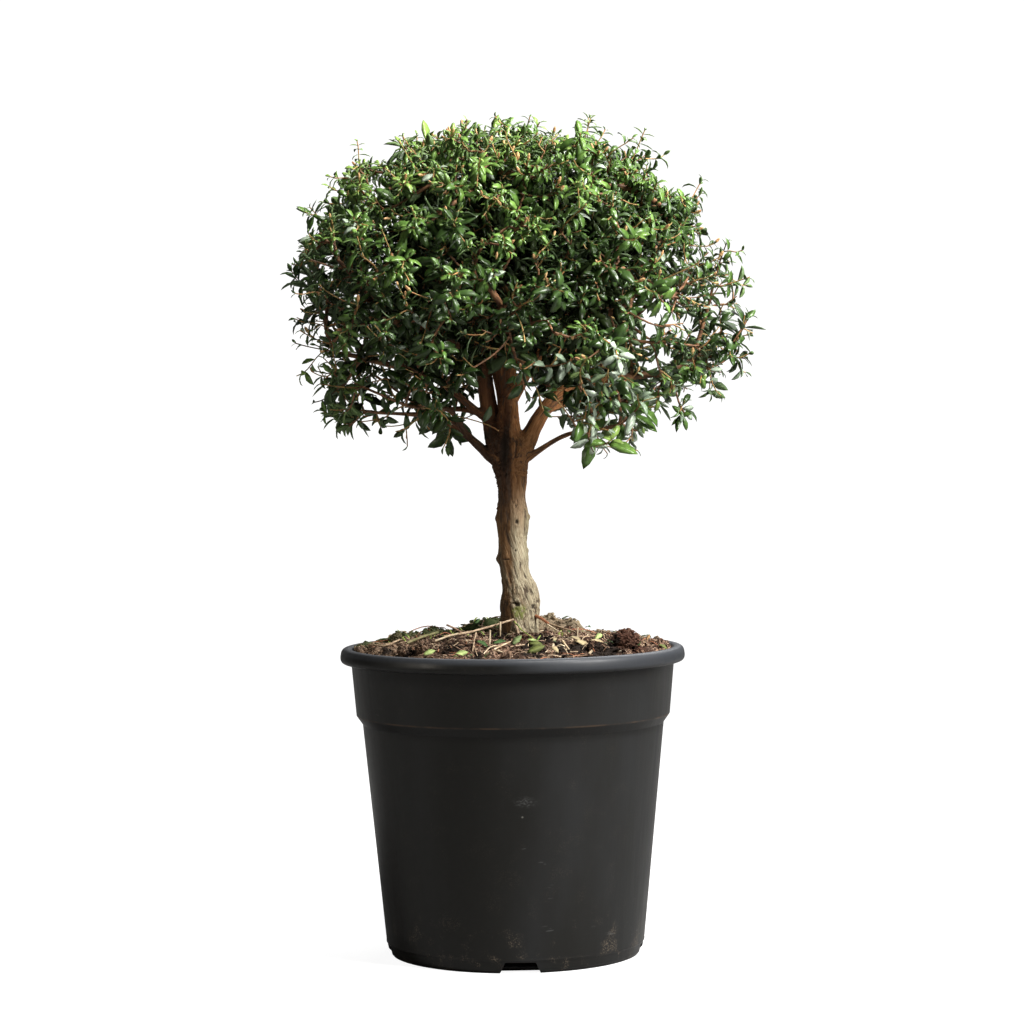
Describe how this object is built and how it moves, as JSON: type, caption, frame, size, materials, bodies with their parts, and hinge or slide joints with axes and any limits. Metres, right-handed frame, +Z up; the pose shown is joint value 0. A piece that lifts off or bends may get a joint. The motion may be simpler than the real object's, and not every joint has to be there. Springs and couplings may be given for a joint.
{
  "type": "potted myrtle tree",
  "caption": "Small standard myrtle with a round, dense crown of glossy dark green leaves on a gnarled trunk, in a round black plastic nursery pot filled with potting soil.",
  "frame": {"origin": "middle of the pot's flat underside, on the surface that the plant stands on", "axes": "+Z up along the pot's axis, -Y towards the plant's front, +X to its right as seen from the front"},
  "size_m": [0.3879, 0.3899, 0.6794],
  "materials": {
    "pot": "satin charcoal black, a little glossier on the rim",
    "soil": "matte crumbly dark brown potting soil",
    "bark": "matte, red-brown with light tan strips where the bark has peeled",
    "foliage": "glossy dark green leaves, lighter at the top and at the shoots' tips"
  },
  "bodies": {
    "root": {"pot": "pot", "soil": "soil", "trunk": "bark", "stem_left": "bark", "stem_centre": "bark", "bough_right": "bark", "bough_left_low": "bark", "bough_right_low": "bark", "bough_back": "bark", "bough_left": "bark", "bough_front_left": "bark", "bough_upper_front": "bark", "bough_front_right": "bark", "bough_front": "bark", "bough_upper_right": "bark", "bough_upper_right_back": "bark", "bough_upper_back": "bark", "bough_back_right": "bark", "bough_back_low": "bark", "bough_right_back_low": "bark", "bough_front_low": "bark", "foliage_top": "foliage", "foliage_upper_left": "foliage", "foliage_upper_front": "foliage", "foliage_upper_right": "foliage", "foliage_upper_right_back": "foliage", "foliage_upper_back": "foliage", "foliage_left": "foliage", "foliage_front_left": "foliage", "foliage_front": "foliage", "foliage_front_right": "foliage", "foliage_right": "foliage", "foliage_back_right": "foliage", "foliage_back": "foliage", "foliage_left_low": "foliage", "foliage_front_low": "foliage", "foliage_right_low": "foliage", "foliage_right_back_low": "foliage", "foliage_back_low": "foliage"}
  },
  "joints": []
}
